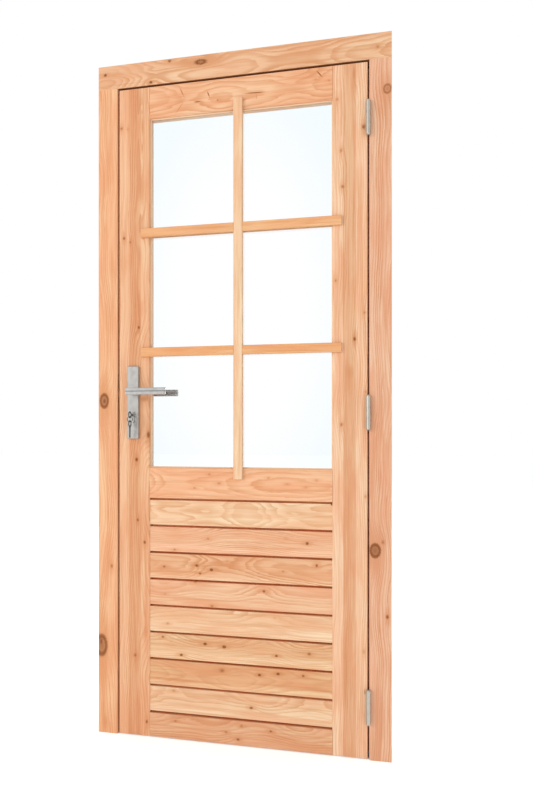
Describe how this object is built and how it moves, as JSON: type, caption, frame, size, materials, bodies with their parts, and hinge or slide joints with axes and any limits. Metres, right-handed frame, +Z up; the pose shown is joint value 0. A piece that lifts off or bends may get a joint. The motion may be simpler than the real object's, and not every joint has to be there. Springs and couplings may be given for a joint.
{
  "type": "glazed door",
  "caption": "Outward-opening glazed door in its frame: window with planted bars above, stacked bevelled boards below, lever set and a key in the lock.",
  "frame": {"origin": "on the outer side face of the hinge jamb, at floor level, halfway through the frame's depth", "axes": "+Z up; +X out of the hinge jamb's outer side, away from the door; -Y to the outside, where the leaf opens"},
  "size_m": [0.91, 0.131, 2.105],
  "materials": {
    "frame_wood": "planed larch, untreated",
    "leaf_wood": "planed larch, untreated",
    "board_wood": "planed larch, untreated",
    "bar_wood": "planed larch, untreated",
    "clear_glass": "clear",
    "hinge_steel": "galvanised",
    "lock_steel": "satin",
    "handle_metal": "satin anodised",
    "key_metal": "nickel-plated"
  },
  "bodies": {
    "frame": {"head": "frame_wood", "hinge_jamb": "frame_wood", "lock_jamb": "frame_wood", "strike_plate": "lock_steel", "hinge_top_frame_half": "hinge_steel", "hinge_middle_frame_half": "hinge_steel", "hinge_bottom_frame_half": "hinge_steel"},
    "leaf": {"lock_stile": "leaf_wood", "hinge_stile": "leaf_wood", "top_rail": "leaf_wood", "mid_rail": "leaf_wood", "bottom_rail": "leaf_wood", "board_1": "board_wood", "board_2": "board_wood", "board_3": "board_wood", "board_4": "board_wood", "board_5": "board_wood", "board_6": "board_wood", "board_7": "board_wood", "board_8": "board_wood", "glass_pane": "clear_glass", "outer_bar_vertical": "bar_wood", "outer_bar_upper": "bar_wood", "outer_bar_lower": "bar_wood", "inner_bar_vertical": "bar_wood", "inner_bar_upper": "bar_wood", "inner_bar_lower": "bar_wood", "bead_left": "bar_wood", "bead_right": "bar_wood", "bead_top": "bar_wood", "bead_bottom": "bar_wood", "hinge_top_leaf_half": "hinge_steel", "hinge_middle_leaf_half": "hinge_steel", "hinge_bottom_leaf_half": "hinge_steel", "lock_case": "lock_steel", "outer_plate": "handle_metal", "inner_plate": "handle_metal", "lock_cylinder": "key_metal"},
    "handle": {"outer_lever": "handle_metal", "inner_lever": "handle_metal", "spindle": "lock_steel"},
    "key": {"key": "key_metal", "cylinder_plug": "key_metal"},
    "ring": {"key_ring": "key_metal", "spare_key": "key_metal"}
  },
  "joints": [
    {"name": "leaf_swing", "type": "hinge", "parent": "frame", "child": "leaf", "pos_m": [-0.0665, -0.052, 1.007], "axis": [0, 0, 1], "range_deg": [0, 170]},
    {"name": "lever_turn", "type": "hinge", "parent": "leaf", "child": "handle", "pos_m": [-0.793, -0.043, 1.075], "axis": [0, 1, 0], "range_deg": [0, 40], "stiffness_Nm_per_rad": 1.5, "springref_deg": -20.05},
    {"name": "key_turn", "type": "hinge", "parent": "leaf", "child": "key", "pos_m": [-0.793, -0.053, 1.003], "axis": [0, 1, 0], "range_deg": [-90, 90]},
    {"name": "ring_hang", "type": "hinge", "parent": "key", "child": "ring", "pos_m": [-0.793, -0.0713, 0.99435], "axis": [0, 1, 0], "range_deg": [-90, 90]}
  ],
  "couplings": [
    {"joint": "ring_hang", "follows": "key_turn", "ratio": -1}
  ]
}
